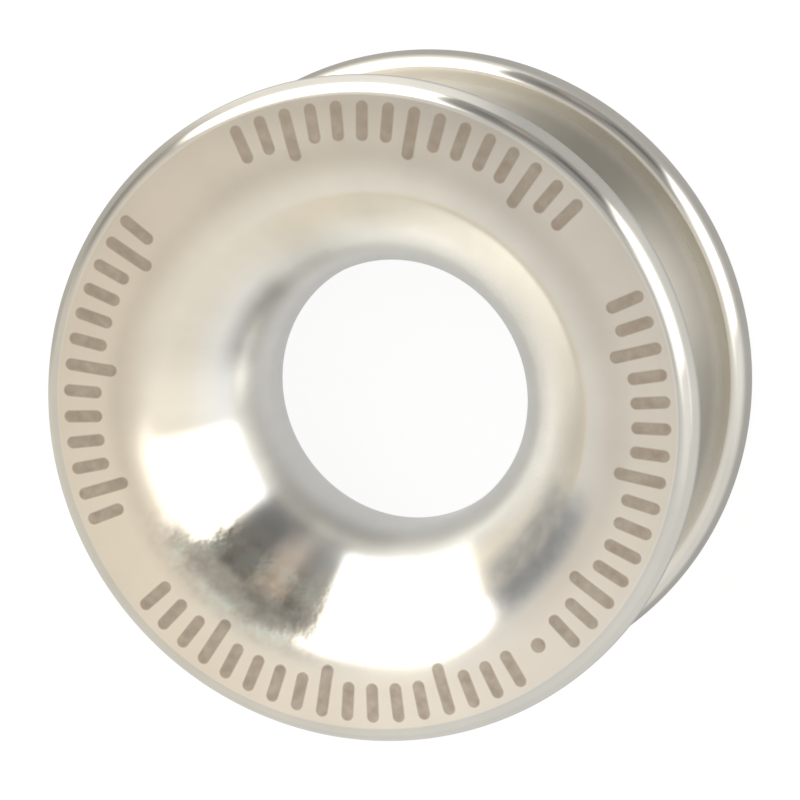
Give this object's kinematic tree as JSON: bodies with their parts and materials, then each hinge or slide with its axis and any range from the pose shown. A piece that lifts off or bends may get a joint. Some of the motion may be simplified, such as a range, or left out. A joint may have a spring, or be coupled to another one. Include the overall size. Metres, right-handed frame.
{
  "type": "low friction ring",
  "caption": "Small turned steel ring with a bell-mouthed eye for a running line and a rounded groove round its outside for the lashing that holds it.",
  "frame": {"origin": "centre of the throat, midway between the two flat faces", "axes": "+Z along the axis of the eye, out of the marked face; X and Y in the middle plane of the groove"},
  "size_m": [0.015, 0.015, 0.0068],
  "materials": {
    "stainless_steel": "satin flat faces, polished mouths, rims and groove"
  },
  "bodies": {
    "root": {"ring": "stainless_steel"}
  },
  "joints": []
}
